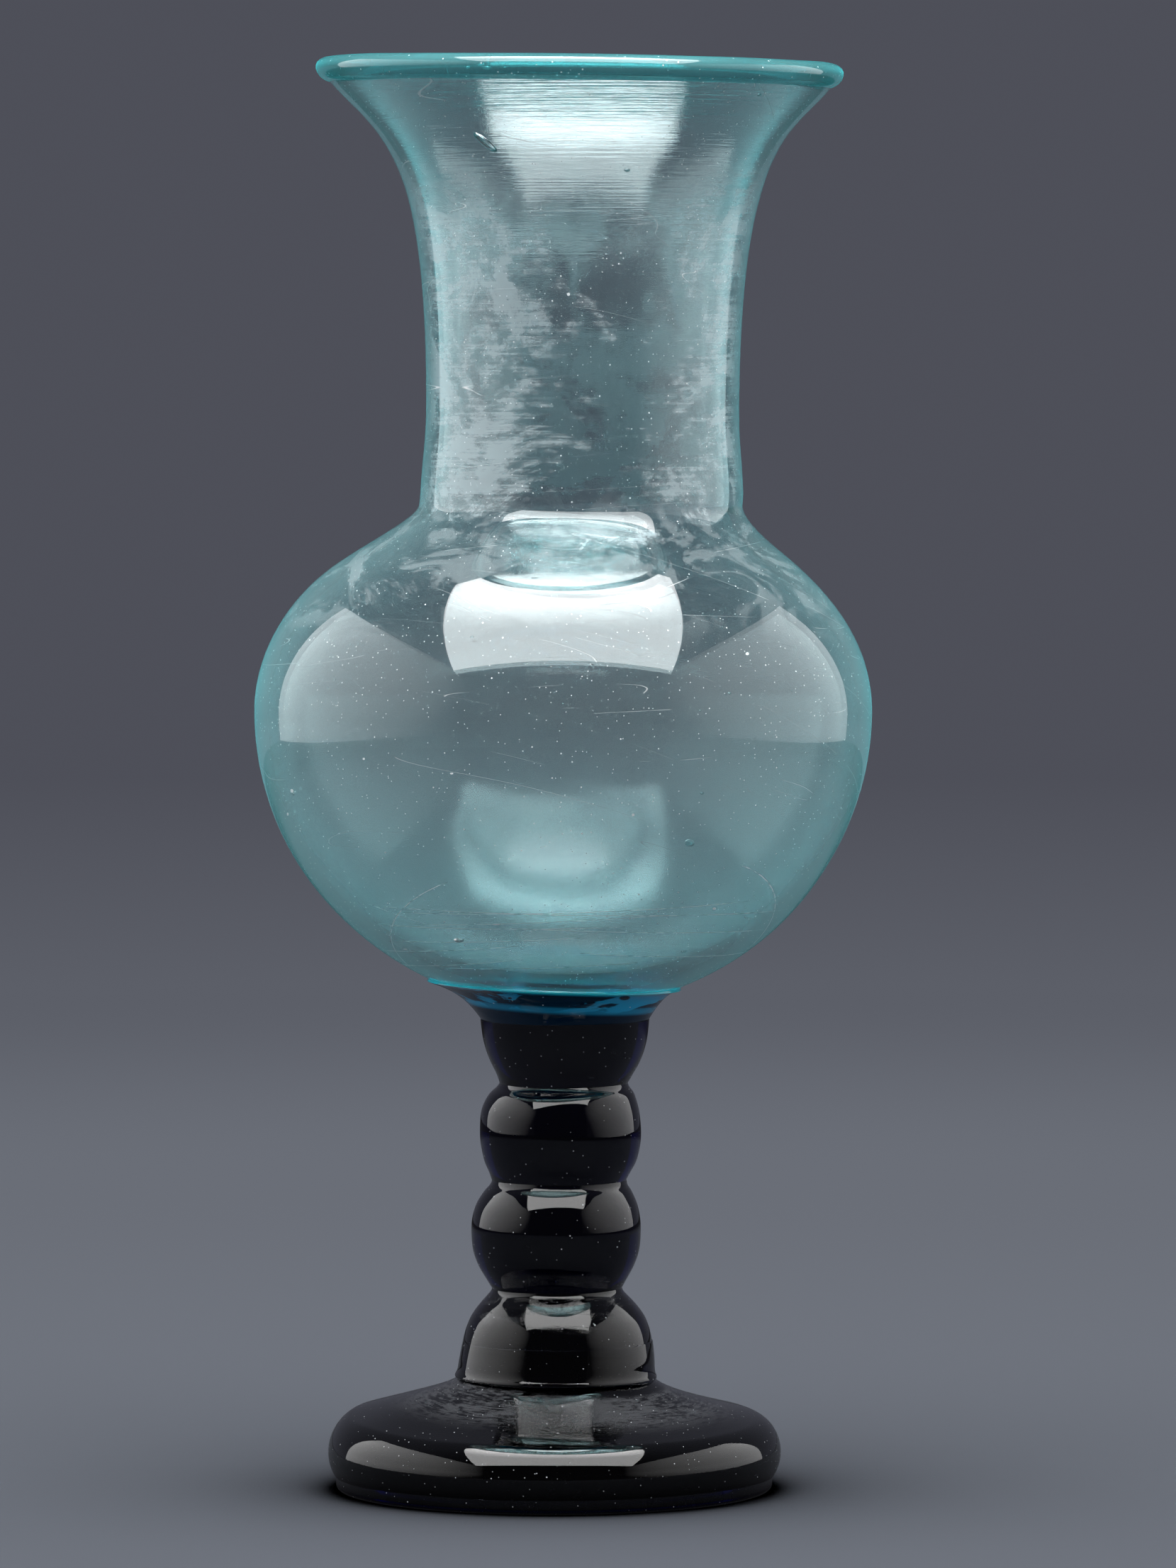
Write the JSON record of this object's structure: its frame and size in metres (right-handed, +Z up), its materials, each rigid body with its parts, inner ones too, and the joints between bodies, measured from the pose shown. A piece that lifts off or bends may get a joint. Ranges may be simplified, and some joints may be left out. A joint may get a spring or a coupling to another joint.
{
  "type": "blown glass vase",
  "caption": "Tall blown glass vase with a flared neck and round belly on a knopped stem and a thick round foot, open at the top.",
  "frame": {"origin": "on the table under the axis of the belly", "axes": "+Z up along the belly's axis, -Y the front, +X the side to which the neck leans"},
  "size_m": [0.108, 0.108, 0.2506],
  "materials": {
    "aqua_glass": "polished",
    "lip_glass": "polished",
    "turquoise_glass": "polished",
    "cobalt_glass": "polished"
  },
  "bodies": {
    "root": {"foot_ring": "cobalt_glass", "foot": "cobalt_glass", "foot_collar": "cobalt_glass", "dome_knop": "cobalt_glass", "lower_ball_knop": "cobalt_glass", "upper_ball_knop": "cobalt_glass", "cup_knop": "cobalt_glass", "bowl_seat": "turquoise_glass", "bowl": "aqua_glass", "lip_thread": "lip_glass"}
  },
  "joints": []
}
